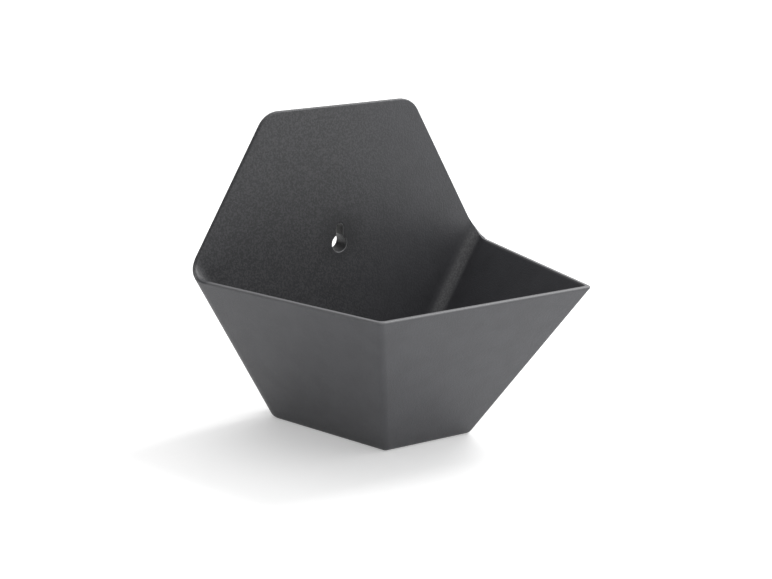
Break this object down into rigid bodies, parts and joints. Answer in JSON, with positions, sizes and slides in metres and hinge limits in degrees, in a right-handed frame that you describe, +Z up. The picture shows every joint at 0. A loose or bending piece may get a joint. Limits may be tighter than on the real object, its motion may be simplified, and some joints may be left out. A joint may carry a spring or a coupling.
{
  "type": "wall planter",
  "caption": "Hexagonal wall planter: upright back plate with a keyhole, and an open trough with leaning walls in front of its lower half.",
  "frame": {"origin": "on the base plane, under the middle of the bounding box", "axes": "+Z up, +Y towards the wall that the planter hangs on, +X to the right as a viewer faces the planter; the planter is mirrored about X = 0"},
  "size_m": [0.2234, 0.1682, 0.1976],
  "materials": {
    "anthracite_plastic": "satin, fine moulded grain",
    "stopper_rubber": "soft matt",
    "screw_steel": "zinc-plated",
    "plug_nylon": "natural nylon, slightly glossy"
  },
  "bodies": {
    "planter": {"planter_shell": "anthracite_plastic", "wall_screw": "screw_steel", "wall_plug": "plug_nylon"},
    "stopper": {"drain_stopper": "stopper_rubber"}
  },
  "joints": [
    {"name": "stopper_lift", "type": "slide", "parent": "planter", "child": "stopper", "axis": [0, 0, 1], "range_m": [0, 0.02]}
  ]
}
